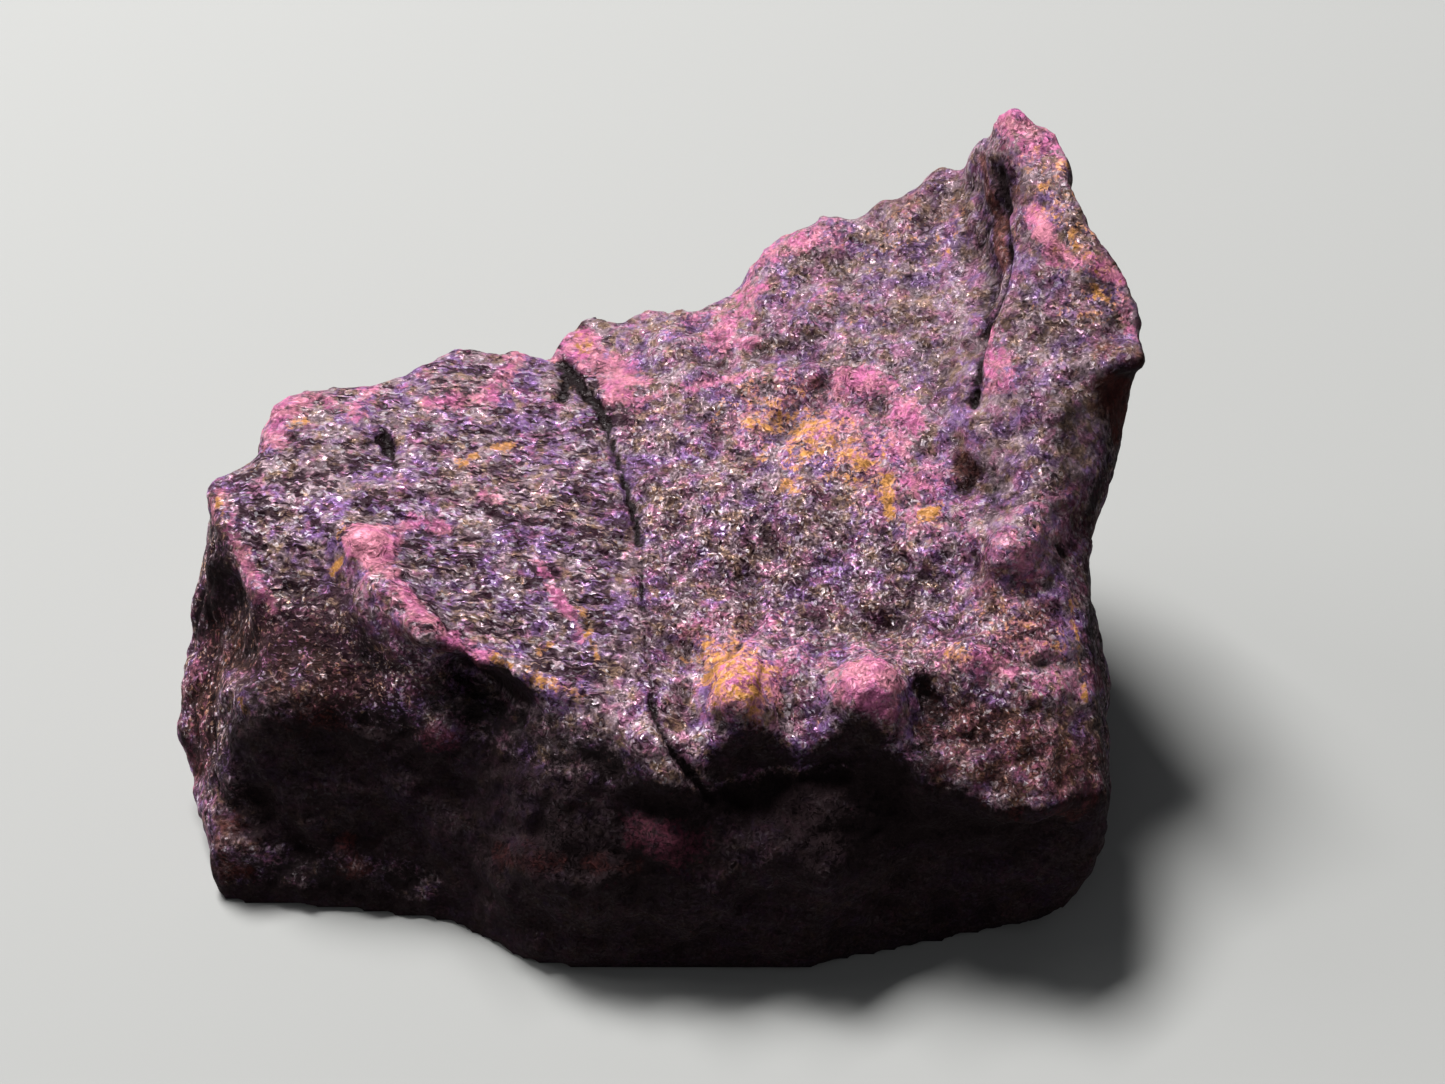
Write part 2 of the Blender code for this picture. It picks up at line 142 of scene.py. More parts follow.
plain_floor()
print("floor:", FLOOR_SIZE, "m wide")

# %% [markdown]
# A stone like this is best lit from behind and above: the light then skims over the upper face, each grain
# of it throws its own small shadow, and the cleavage faces glint. One lamp alone would leave the rest
# black, so a larger one opens the shadows at the left, and a weak one and a pale sky lift the front wall.
# Area lamps shine along their own -Z, so each is turned to the stone.

# %% Lamps and sky
SKY_COLOUR = (0.9, 0.94, 1.0, 1)
SKY_STRENGTH = 0.09


def lamp(name, direction, distance, size, watts):
    """A square lamp in that direction from the stone, turned towards it."""
    light = bpy.data.lights.new(name, "AREA")
    light.size = size
    light.energy = watts
    obj = linked(name, light)
    direction = Vector(direction).normalized()
    obj.location = AIM + direction * distance
    obj.rotation_euler = direction.to_track_quat("Z", "Y").to_euler()
    return obj


def soft_sky():
    """An even pale sky, which lights every side a little."""
    sky = bpy.data.worlds.new("soft sky")
    sky.use_nodes = True
    background = sky.node_tree.nodes["Background"]
    background.inputs["Color"].default_value = SKY_COLOUR
    background.inputs["Strength"].default_value = SKY_STRENGTH
    return sky


lamp("key lamp behind and above", direction=(-0.28, 0.42, 0.86), distance=0.7, size=0.22, watts=9.4)
lamp("soft lamp at the left", direction=(-0.82, 0.25, 0.5), distance=0.9, size=0.35, watts=1.6)
lamp("weak lamp at the front", direction=(-0.3, -0.8, 0.5), distance=0.9, size=0.6, watts=0.3)
bpy.context.scene.world = soft_sky()
bpy.context.scene.view_settings.view_transform = "Standard"

# %% [markdown]
# ## A fine skin over the block
#
# The measured block has about ten thousand triangles, with flat facets a millimetre wide, and sculpting in
# code needs an even skin of much smaller faces. Subdividing would keep the long thin triangles, so a voxel
# Remesh lays a new grid of quads over the shape instead. The copy it works on is merged first, because the
# loaded mesh is loose triangles and a Remesh needs a closed one.

# %% Merge a copy and lay the fine skin
SKIN_VOXEL = 0.34 * MM
MERGE_WITHIN = 0.001 * MM
FACET_ROUNDING = 2


def merged_copy(obj, name):
    """A copy of the object whose loose triangles are joined into one closed mesh."""
    bm = bmesh.new()
    bm.from_mesh(obj.data)
    bmesh.ops.remove_doubles(bm, verts=bm.verts, dist=MERGE_WITHIN)
    mesh = bpy.data.meshes.new(name)
    bm.to_mesh(mesh)
    bm.free()
    return linked(name, mesh)


def fine_skin(obj, voxel):
    """The object's shape with an even skin, as a bmesh. The object itself is removed."""
    remesh = obj.modifiers.new("Fine skin", "REMESH")
    remesh.mode = "VOXEL"
    remesh.voxel_size = voxel
    bm = bmesh.new()
    bm.from_object(obj, bpy.context.evaluated_depsgraph_get())
    bpy.data.objects.remove(obj)
    return bm


skin = fine_skin(merged_copy(block, "stone copy"), SKIN_VOXEL)
print("skin:", len(skin.verts), "points,", len(skin.faces), "faces")

# %% [markdown]
# A little smoothing rounds off the block's facets. A Smooth modifier could do it, but the bmesh operator
# can leave points out: those of the resting face stay where they are, so the stone still stands flat.

# %% Round the facets
REST_BAND = 0.6 * MM
HALFWAY = 0.5
ALL_AXES = {"use_axis_x": True, "use_axis_y": True, "use_axis_z": True}


def above_rest(bm):
    """The points that aren't on the resting face."""
    return [vertex for vertex in bm.verts if vertex.co.z > REST_BAND]


def smooth(bm, vertices):
    """Moves each of these points halfway to the middle of its neighbours."""
    bmesh.ops.smooth_vert(bm, verts=vertices, factor=HALFWAY, **ALL_AXES)


for _ in range(FACET_ROUNDING):
    smooth(skin, above_rest(skin))
skin.normal_update()
print("rounded", len(above_rest(skin)), "points")

# %% [markdown]
# ## Where things are on the stone
#
# Cracks, knobs and stains are placed as points of the picture, because nobody can read a place in space
# off a picture. A ray from the camera through such a point is followed until it meets the skin, and one
# that just misses the outline goes to the nearest skin. The hidden sides have marks too: each is given as
# a compass bearing and an elevation, and its ray runs in from far outside to the stone's middle.

# %% Rays from the picture and from outside
from mathutils.bvhtree import BVHTree

skin_tree = BVHTree.FromBMesh(skin)
FAR = 200 * MM
MIDDLE = Vector((0, 0, 12)) * MM


def at_pixel(column, row):
    """The point of the skin that shows at that column and row of the picture."""
    half_width = SENSOR / 2 / LENS
    right = (column - PHOTO_WIDE / 2) / (PHOTO_WIDE / 2) * half_width
    up = (PHOTO_HIGH / 2 - row) / (PHOTO_WIDE / 2) * half_width
    ray = camera.rotation_euler.to_matrix() @ Vector((right, up, -1))
    hit = skin_tree.ray_cast(camera.location, ray.normalized())[0]
    if hit is None:
        hit = skin_tree.find_nearest(camera.location + ray * CAMERA_DISTANCE)[0]
    return hit


def at_bearing(bearing, elevation):
    """The point of the skin seen from that bearing: 0 is the front, 90 the right and 180 the back."""
    turn = math.radians(bearing)
    rise = math.radians(elevation)
    out = Vector((math.sin(turn) * math.cos(rise), -math.cos(turn) * math.cos(rise), math.sin(rise)))
    return skin_tree.ray_cast(MIDDLE + out * FAR, -out)[0]


print("horn tip at mm:", [round(1000 * c, 1) for c in at_pixel(1020, 135)])

# %% [markdown]
# ## Breaking the surface
#
# A broken stone isn't evenly rough. This one's left upper face is a cleavage plane with fine steps, its
# two ends have upright ribs, and the rest is small grains and lumps. A Displace modifier with a cloud
# texture would make it all soft and alike. Here space is cut into cells, each of which holds a small plane
# with a tilt of its own, and where the cells are stretched the planes become steps and ribs. The same
# point always gets the same cell, so each run gives the same stone.

# %% Small tilted planes
from mathutils import noise

# These only turn one cell's centre into two random values that have nothing to do with each other.
HEIGHT_KEY = 5.3
TILT_KEY = 37.0


def clamped(value):
    return min(1.0, max(0.0, value))


def tilt(centre):
    """A slope of its own for each cell."""
    return 2.0 * noise.cell_vector(centre * TILT_KEY) - Vector((1, 1, 1))


def planes(place, crispness):
    """Small tilted planes, one to a cell about 1 wide, that meet along edges: from about -1 to 1."""
    distances, centres = noise.voronoi(place)
    weights = [math.exp(crispness * (distances[0] - distance)) for distance in distances]
    heights = [noise.noise(centre * HEIGHT_KEY) + (place - centre).dot(tilt(centre)) for centre in centres]
    return sum(weight * height for weight, height in zip(weights, heights)) / sum(weights)


print("a plane's height:", round(planes(Vector((1.3, 2.1, 0.4)), crispness=16), 3))

# %% [markdown]
# Each kind of breakage has its own share at each point. The cleavage plane is the left part of what faces
# up, and it ends near the crack in a line that wanders. An end is what faces left or right. The high
# ground towards the horn is calmer than the rest. Painted vertex groups could say the same, but a rule
# also covers the hidden sides.

# %% Shares of plane, end and high ground
# Lengths are in millimetres, and a facing is one number of the normal, from 0 to 1.
PLANE_FACES_UP = 0.62
PLANE_FACING_FADE = 0.16
PLANE_EDGE = -0.5
PLANE_EDGE_FADE = 2.0
EDGE_WANDER = 1.5
EDGE_WAVE = 3.0
END_FACES_OUT = 0.4
END_FACING_FADE = 0.3
HIGH_GROUND = 20.0
HIGH_GROUND_FADE = 5.0


def face_shares(point, normal):
    """How much the point, in millimetres, is striated plane, and how much ribbed end."""
    edge = PLANE_EDGE + EDGE_WANDER * noise.noise(point / EDGE_WAVE)
    plane = clamped((normal.z - PLANE_FACES_UP) / PLANE_FACING_FADE)
    plane *= clamped((edge - point.x) / PLANE_EDGE_FADE)
    end = clamped((abs(normal.x) - END_FACES_OUT) / END_FACING_FADE)
    return plane, end


def calmness(point):
    """How much the point, in millimetres, is on the high ground."""
    return clamped((point.z - HIGH_GROUND) / HIGH_GROUND_FADE)


print("plane and end shares on the left:", face_shares(Vector((-10, 0, 18)), Vector((0, 0, 1))))

# %% [markdown]
# The relief is the sum of them all. Grains, lumps and sand have a height where the skin is rough, and a
# least height that they keep on the plane and the ends.

# %% Steps, ribs, grains and lumps
CRISP = 16.0
STEP_LENGTH = 2.2
STEP_WIDTH = 0.7
STEP_HEIGHT = 0.14
STEP_SLANT = math.radians(-9)
RIB_LENGTH = 5.0
RIB_WIDTH = 0.9
RIB_HEIGHT = 0.20
GRAIN = 0.95
GRAIN_HEIGHT = 0.13
GRAIN_LEAST = 0.02
LUMP = 2.4
LUMP_HEIGHT = 0.15
LUMP_LEAST = 0.05
LUMP_SHIFT = Vector((5, 1, 8))
SAND = 0.8
SAND_HEIGHT = 0.06
SAND_LEAST = 0.05
ROUGHEST = 1.3
CALMED_BY = 0.55


def steps(point):
    """Long low steps across the cleavage plane."""
    along = point.x * math.cos(STEP_SLANT) + point.y * math.sin(STEP_SLANT)
    across = point.y * math.cos(STEP_SLANT) - point.x * math.sin(STEP_SLANT)
    return planes(Vector((along / STEP_LENGTH, across / STEP_WIDTH, point.z / STEP_WIDTH)), CRISP)


def ribs(point):
    """Upright ribs."""
    return planes(Vector((point.x / RIB_WIDTH, point.y / RIB_WIDTH, point.z / RIB_LENGTH)), CRISP)


def breakage(point, normal):
    """How far the skin moves in or out here, in millimetres."""
    plane, end = face_shares(point, normal)
    rough = (1.0 - max(plane, end)) * (ROUGHEST - CALMED_BY * calmness(point))
    reach = STEP_HEIGHT * plane * steps(point) + RIB_HEIGHT * end * ribs(point)
    reach += (GRAIN_HEIGHT * rough + GRAIN_LEAST) * planes(point / GRAIN, CRISP)
    reach += (LUMP_HEIGHT * rough + LUMP_LEAST) * planes(point / LUMP + LUMP_SHIFT, CRISP)
    reach += (SAND_HEIGHT * rough + SAND_LEAST) * noise.noise(point / SAND)
    return reach


print("breakage at the top, mm:", round(breakage(Vector((0, 0, 20)), Vector((0, 0, 1))), 3))

# %% [markdown]
# ## The crack, pits, grooves and knobs
#
# These go deeper or stand higher than the breakage does. Each is a path of points of the picture with a
# radius, and the skin near it is moved along its own normal. Booleans could cut them, but leave clean hard
# edges that a broken stone doesn't have. Numpy measures all distances from a path at once, which a Python
# loop would take minutes over.

# %% Distances from a path
import numpy as np


def points_of(bm):
    """The places of all points of the mesh, one row each."""
    return np.array([vertex.co for vertex in bm.verts])


def distances_from(points, path):
    """The distance of each point from the nearest stretch of the path."""
    path = [np.array(corner) for corner in path]
    if len(path) == 1:
        return np.linalg.norm(points - path[0], axis=1)
    nearest = np.full(len(points), FAR)
    for start, end in zip(path, path[1:]):
        line = end - start
        share = np.clip((points - start) @ line / (line @ line), 0, 1)
        gap = np.linalg.norm(points - start - share[:, None] * line, axis=1)
        nearest = np.minimum(nearest, gap)
    return nearest


def falloff(distances, radius):
    """1 on the path, falling smoothly to 0 at the radius."""
    share = np.clip(distances / radius, 0, 1)
    return (1 - share ** 2) ** 2


def seen_path(*pixels):
    """The points of the skin that show at these (column, row) pairs."""
    return [at_pixel(*pixel) for pixel in pixels]


def strokes_from(rows, path_of=seen_path, numbers=2):
    """Strokes from rows that hold their numbers first and then the points of their path."""
    return [(path_of(*row[numbers:]), *row[:numbers]) for row in rows]


def strongest(points, strokes):
    """The most that any stroke of (path, radius in mm, strength) does at each point."""
    total = np.zeros(len(points))
    for path, radius, strength in strokes:
        total = np.maximum(total, strength * falloff(distances_from(points, path), radius * MM))
    return total


places = points_of(skin)
print("points:", len(places))

# %% [markdown]
# The crack is widest where it enters over the back edge and where it leaves over the front, and nearly
# closes in between, so it is made of stretches. What is pressed in is also noted as shade, from 0 to 1,
# which the material paints darker: painted shade, for the shade that falls into a crack.

# %% The crack
# Radius and depth in mm, shade, and the points of the path.
CRACK = [
    (0.8, 0.4, 1.0, (553, 352), (568, 368), (588, 395)),
    (0.65, 0.45, 1.0, (562, 362), (580, 384), (598, 405), (606, 425)),
    (0.36, 0.3, 0.8, (606, 425), (615, 450), (625, 485)),
    (0.42, 0.35, 0.95, (625, 485), (635, 520), (640, 545)),
    (0.36, 0.15, 0.6, (640, 545), (642, 600), (648, 650), (652, 700)),
    (0.5, 0.4, 0.85, (652, 700), (660, 725), (675, 755), (695, 778), (712, 800)),
]
print("stretches of the crack:", len(CRACK))

# %% [markdown]
# Pits are short: the one with two arms on the left plane, the end of the horn's groove, one in the left
# knob, the brown hole below the horn, and the gap beside the second knob. Grooves are long: the one that
# runs down beside the horn, three shallow ones near the front edge, the right side below the lip, barely
# pressed in and mostly painted shade, and three upright ones on the left end.

# %% Pits and grooves
# Radius and depth in mm, shade, and the points of the path.
PITS = [
    (0.65, 0.45, 0.8, (384, 436), (389, 450)),
    (0.42, 0.25, 0.75, (364, 444), (384, 440)),
    (0.4, 0.2, 0.6, (389, 450), (396, 466)),
    (0.5, 0.5, 0.9, (975, 392), (974, 404)),
    (0.5, 0.35, 0.7, (740, 645)),
    (1.0, 0.35, 0.7, (962, 462), (970, 474), (965, 486)),
    (1.1, 0.3, 0.7, (925, 680), (930, 700), (938, 725)),
]
GROOVES = [
    (0.75, 0.35, 0.75, (1000, 175), (1006, 215), (1008, 255), (1004, 290), (985, 330), (976, 380)),
    (0.9, 0.1, 0.4, (445, 672), (462, 682), (480, 692)),
    (0.4, 0.1, 0.3, (583, 604), (588, 630), (594, 658)),
    (0.4, 0.15, 0.4, (760, 652), (762, 690)),
    (2.8, 0.1, 0.9, (1118, 392), (1120, 440), (1112, 490), (1100, 530)),
    (2.0, 0.1, 0.7, (1094, 555), (1092, 640)),
    (0.5, 0.3, 0.8, (198, 560), (194, 640), (198, 740)),
    (0.45, 0.3, 0.8, (214, 545), (210, 620), (212, 700), (218, 790)),
    (0.4, 0.2, 0.6, (232, 590), (230, 660), (234, 740)),
]
print("pits:", len(PITS), "grooves:", len(GROOVES))

# %% [markdown]
# Painted shade also lies where nothing is pressed in: under the front edge and the knobs, along the foot
# of the wall, on the sloping facet at the left, on the lumps at the front right, and beside and below the
# horn, where the stone shades itself from the lamp behind. It has a shade and no depth.

# %% Painted shade, and all that is pressed in
# Radius in mm, shade, and the points of the path.
PAINTED_SHADE = [
    (2.6, 0.9, (440, 690), (500, 722), (560, 745), (620, 775), (680, 812)),
    (2.4, 0.9, (720, 806), (800, 790), (880, 775), (930, 765)),
    (5.5, 0.36, (950, 735), (1080, 775)),
    (3.5, 0.9, (290, 872), (400, 885)),
    (4.0, 0.9, (560, 850), (640, 872)),
    (4.5, 0.9, (820, 835), (900, 820), (1000, 825)),
    (6.0, 0.35, (250, 650), (310, 640), (350, 660)),
    (3.5, 0.6, (235, 800), (250, 880)),
    (3.0, 0.7, (260, 700), (340, 720), (420, 740)),
    (1.8, 0.45, (985, 190), (995, 250), (985, 320)),
    (3.2, 0.4, (1062, 410), (1070, 520), (1055, 600)),
    (2.0, 0.35, (985, 480), (1000, 510)),
]
hollows = strokes_from(CRACK + PITS + GROOVES, numbers=3)
pressed = strongest(places, [(path, radius, depth) for path, radius, depth, _ in hollows])
shade = strongest(places, [(path, radius, darkness) for path, radius, _, darkness in hollows])
shade = np.maximum(shade, strongest(places, strokes_from(PAINTED_SHADE)))
print("points pressed in:", int((pressed > 0.05).sum()))

# %% [markdown]
# The large knobs are in the measured block already, and these are the smaller rims and lumps on and
# between them. Smooth swellings alone would look like balls, so the knobs, the pink ridge and the rim at
# the back are also crumbly: tilted planes break them up, with a height of their own.

# %% Knobs and rims
# Radius and height in mm, and the points of the path.
SWELLS = [
    (1.8, 0.2, (845, 384), (870, 382)),
    (1.4, 0.15, (905, 410)),
    (0.9, 0.15, (605, 398), (640, 396)),
    (1.4, 0.6, (795, 660), (800, 700)),
    (2.2, 0.6, (368, 605), (392, 637), (425, 666)),
    (1.4, 0.35, (1092, 352), (1115, 356), (1134, 360)),
    (2.2, 0.4, (1010, 548)),
    (1.6, 0.3, (985, 360)),
    (1.6, 0.3, (285, 412)),
    (2.0, 0.5, (665, 838)),
    (1.7, 0.4, (440, 738)),
    (1.8, 0.4, (350, 860)),
    (2.0, 0.4, (240, 850)),
    (1.8, 0.35, (965, 765)),
    (1.6, 0.35, (1020, 780)),
    (1.6, 0.3, (1075, 770)),
    (1.6, 0.3, (985, 650)),
    (1.4, 0.3, (1040, 690)),
    (1.2, 0.3, (365, 535)),
]
swollen = strongest(places, strokes_from(SWELLS))
print("points raised:", int((swollen > 0.05).sum()))

# %% Crumbly knobs, ridge and rim
# Radius and height of the crumbs in mm, and the points of the path.
CRUMBLY = [
    (2.6, 0.2, (365, 535), (385, 565), (428, 618), (485, 657)),
    (3.2, 0.26, (722, 660), (762, 672)),
    (3.2, 0.26, (855, 672), (880, 690)),
    (3.2, 0.22, (995, 545), (1035, 585)),
    (2.2, 0.16, (742, 292), (785, 246), (830, 234)),
]
crumbs_high = strongest(places, strokes_from(CRUMBLY))
print("crumbly points:", int((crumbs_high > 0.05).sum()))

# %% [markdown]
# Now the skin is moved, once, by the sum of them all. A point near the resting face hardly moves, and no
# point leaves the box of the measured stone.

# %% Move the skin
CRUMB = 1.1
REST_HEIGHT = 0.1 * MM
REST_FADE = 1.2 * MM


def break_skin(bm, moves_out, crumb_heights):
    """Moves each point along its normal by the breakage, its own move and its crumbs, all in mm."""
    low, high = cad_box
    moves = []
    for vertex, out, crumb in zip(bm.verts, moves_out, crumb_heights):
        reach = breakage(vertex.co / MM, vertex.normal) + out
        if crumb > 0:
            reach += crumb * planes(vertex.co / MM / CRUMB, CRISP)
        reach *= clamped((vertex.co.z - REST_HEIGHT) / REST_FADE)
        moves.append(vertex.normal * reach * MM)
    for vertex, move in zip(bm.verts, moves):
        moved = vertex.co + move
        vertex.co = [min(max(value, least), most) for value, least, most in zip(moved, low, high)]


break_skin(skin, swollen - pressed, crumbs_high)
skin.normal_update()
print("moved", len(skin.verts), "points")

# %% [markdown]
# ## Ridges, walls and open fibres
#
# On the real stone the pink bloom sits where the surface stands out, and the hollows get painted shade.
# So a copy of the skin is smoothed many times, and each point's height above it is measured and kept as
# an attribute. Blender's Pointiness does this in the shader, but only over one face's width, and it is
# lost in an export.

# %% Measure ridges and hollows
SMOOTHINGS = 40
FULL_RIDGE = 0.22 * MM


def smoothed_skin(bm):
    """The points and normals of the skin once its relief is smoothed away."""
    copy = bm.copy()
    for _ in range(SMOOTHINGS):
        smooth(copy, copy.verts)
    copy.normal_update()
    points = points_of(copy)
    normals = np.array([vertex.normal for vertex in copy.verts])
    copy.free()
    return points, normals


calm_points, calm_normals = smoothed_skin(skin)
places = points_of(skin)
heights = np.einsum("ij,ij->i", places - calm_points, calm_normals)
ridge = np.clip(heights / FULL_RIDGE, -1, 1) * 0.5 + 0.5
print("points on ridges:", int((ridge > 0.7).sum()), "and in hollows:", int((ridge < 0.3).sum()))

# %% [markdown]
# The steep front wall and the right end are painted nearly black: mostly painted shade, as they lie in
# shade under the lamp behind, over a darker crust. How the smoothed skin faces tells where it is, so it
# needs no painting by hand and fades round the edges by itself. The middle of the wall is painted shaded
# all over, whichever way its lumps face. The sloping facet and the corner at the left get less of it.

# %% Measure the painted shade on the walls
# Lengths are in millimetres, and a facing is one number of the normal, from 0 to 1.
WALL_FACES_FRONT = 0.2
WALL_FACING_FADE = 0.35
WALL_FACES_UP = 0.6
WALL_STEEPNESS_FADE = 0.3
RIGHT_END_FACES_OUT = 0.55
RIGHT_END_FACING_FADE = 0.3
RIGHT_END_START = 20.0
RIGHT_END_FADE = 4.0
RIGHT_END_STRENGTH = 0.75
# Radius in mm, strength or the share of the painted shade that is taken off, and the points of the path.
WALL_MIDDLE = [
    (7.5, 2.2, (280, 780), (420, 800), (560, 850), (700, 865), (850, 845), (1000, 860), (1080, 860)),
]
LESS_WALL_SHADE = [
    (5.5, 0.8, (260, 610), (340, 630), (410, 675)),
    (3.0, 0.35, (214, 730), (222, 800), (232, 860)),
]


def rises(values, start, fade):
    """0 up to the start, then rising evenly to 1 over the fade."""
    return np.clip((values - start) / fade, 0, 1)


wall_shade = rises(-calm_normals[:, 1], WALL_FACES_FRONT, WALL_FACING_FADE)
wall_shade = wall_shade * rises(-calm_normals[:, 2], -WALL_FACES_UP, WALL_STEEPNESS_FADE)
wall_shade = np.maximum(wall_shade, np.minimum(1, strongest(places, strokes_from(WALL_MIDDLE))))
right_end = rises(calm_normals[:, 0], RIGHT_END_FACES_OUT, RIGHT_END_FACING_FADE)
right_end = right_end * rises(places[:, 0] / MM, RIGHT_END_START, RIGHT_END_FADE)
wall_shade = np.maximum(wall_shade, RIGHT_END_STRENGTH * right_end)
for stroke in strokes_from(LESS_WALL_SHADE):
    wall_shade = wall_shade * (1 - strongest(places, [stroke]))
# Points under the walls' painted shade.
print("coated points:", int((wall_shade > 0.5).sum()))

# %% [markdown]
# The fibres lie open in some places, with wide gaps that are painted black as shade, and crests painted
# brighter, with more painted glints: on the facet and the end at the left, over the middle of the granular
# half, and at the front right. On the high ground they are packed close instead. Both shares are kept for
# the material.

# %% Open and close fibres
# Radius in mm, strength, and the points of the path.
GAPPY = [
    (7.0, 1.0, (250, 630), (310, 640), (380, 690)),
    (6.0, 1.0, (205, 540), (205, 640), (210, 740)),
    (8.0, 0.5, (640, 520), (760, 560), (860, 600), (940, 640)),
    (6.0, 0.35, (470, 560), (600, 640)),
    (5.0, 0.6, (960, 720), (1080, 760)),
]
gaps = strongest(places, strokes_from(GAPPY))
calmed = np.array([calmness(Vector(point) / MM) for point in calm_points])
print("gappy points:", int((gaps > 0.3).sum()), "calm points:", int((calmed > 0.3).sum()))

# %% [markdown]
# ## Stains
#
# Three kinds of stain are painted on the points: the magenta bloom of altered purpurite, orange ochre from
# iron, and dull brown rust. Noise alone would put none where the stone has it, so each is a path on the
# skin with a radius and a strength. Two sizes of noise make its edge ragged, and the material breaks it up
# further, grain by grain.

# %% Ragged edges
WIDE_RAGS = 1.3
FINE_RAGS = 0.5
FINE_SHARE = 0.6
RAGGED_BY = 0.45


def raggedness(point):
    """Noise of two sizes at the point, in millimetres."""
    return noise.noise(point / WIDE_RAGS) + FINE_SHARE * noise.noise(point / FINE_RAGS)


def stain(strokes):
    """How strongly each point is stained by strokes of (path, radius in mm, strength)."""
    total = np.zeros(len(places))
    for path, radius, strength in strokes:
        share = distances_from(places, path) / (radius * MM) + RAGGED_BY * ragged
        total = np.maximum(total, strength * (1 - np.clip(share, 0, 1) ** 2))
    return total


ragged = np.array([raggedness(Vector(place) / MM) for place in places])
print("ragged from", round(float(ragged.min()), 2), "to", round(float(ragged.max()), 2))

# %% [markdown]
# The strokes on the side that is seen follow the stone's own. Bloom is on a bright knob with a tail near
# the left edge, on the rims at the back, the terrace below them, the knobs over the front edge, and the
# horn. Broad faint strokes come first, which the material turns into scattered flecks.

# %% Bloom that is seen
# Here and in the next lists: radius in mm, strength, and the points of the path.
BLOOM = [
    (4.5, 0.22, (430, 380), (560, 420), (520, 480)),
    (4.5, 0.2, (650, 330), (760, 330), (820, 300)),
    (4.5, 0.26, (250, 600), (330, 650), (400, 690)),
    (3.0, 0.34, (185, 600), (192, 700), (200, 760)),
    (4.2, 0.5, (770, 420), (850, 420), (920, 490)),
    (3.2, 0.1, (1010, 140), (1050, 230), (1100, 320)),
    (3.4, 0.3, (960, 540), (1040, 570)),
    (4.0, 0.3, (960, 740), (1080, 770)),
    (3.0, 0.4, (700, 640), (900, 650), (1050, 660)),
    (1.6, 0.62, (275, 440), (283, 420), (300, 404), (325, 398)),
    (1.2, 0.65, (430, 358), (490, 350), (520, 354)),
    (1.2, 0.5, (350, 385), (375, 388)),
    (1.7, 0.55, (742, 292), (757, 266), (785, 246), (830, 234)),
    (0.9, 0.7, (740, 340), (752, 346)),
    (0.8, 0.8, (605, 402), (625, 397), (636, 405)),
    (0.5, 0.55, (640, 400), (690, 388), (735, 378), (760, 370)),
    (1.9, 0.8, (845, 385), (870, 382)),
    (1.3, 0.7, (900, 405), (915, 420)),
    (1.5, 0.65, (840, 440), (870, 465)),
    (1.1, 0.5, (690, 318), (740, 305)),
    (2.1, 1.3, (365, 535), (380, 548)),
    (0.9, 0.75, (380, 528), (420, 522), (440, 528)),
    (1.0, 0.68, (385, 565), (405, 590), (428, 618), (455, 640), (485, 657)),
    (2.0, 0.35, (370, 580), (395, 615), (430, 648)),
    (0.6, 0.75, (535, 562), (552, 590), (575, 622), (583, 640)),
    (0.8, 0.6, (485, 492), (497, 500)),
    (2.6, 0.8, (722, 660), (740, 680), (762, 672)),
    (2.8, 0.8, (855, 672), (880, 690)),
    (1.5, 0.7, (975, 660), (1000, 668)),
    (2.2, 0.45, (995, 545), (1020, 560), (1035, 585)),
    (1.9, 0.6, (1000, 122), (1025, 125), (1045, 145)),
    (1.1, 1.0, (1035, 215), (1048, 240), (1058, 252)),
    (0.8, 0.85, (1070, 260), (1100, 268), (1122, 280)),
    (1.5, 0.6, (988, 345), (1000, 380)),
    (0.7, 0.55, (222, 490), (238, 545), (255, 578), (275, 612)),
    (1.9, 0.75, (640, 830), (665, 845), (690, 845)),
    (1.3, 0.6, (430, 735), (455, 745)),
    (0.9, 0.7, (190, 740), (192, 755)),
    (0.8, 0.8, (905, 480), (920, 486)),
    (0.9, 0.6, (1120, 300), (1130, 330)),
]
print("strokes of bloom:", len(BLOOM))

# %% [markdown]
# Ochre has a broad field on the terrace, fainter ones on the horn and the slopes, and small strong flecks:
# at both ends of the pink ridge, on the left knob, and in a thin line down the right end.

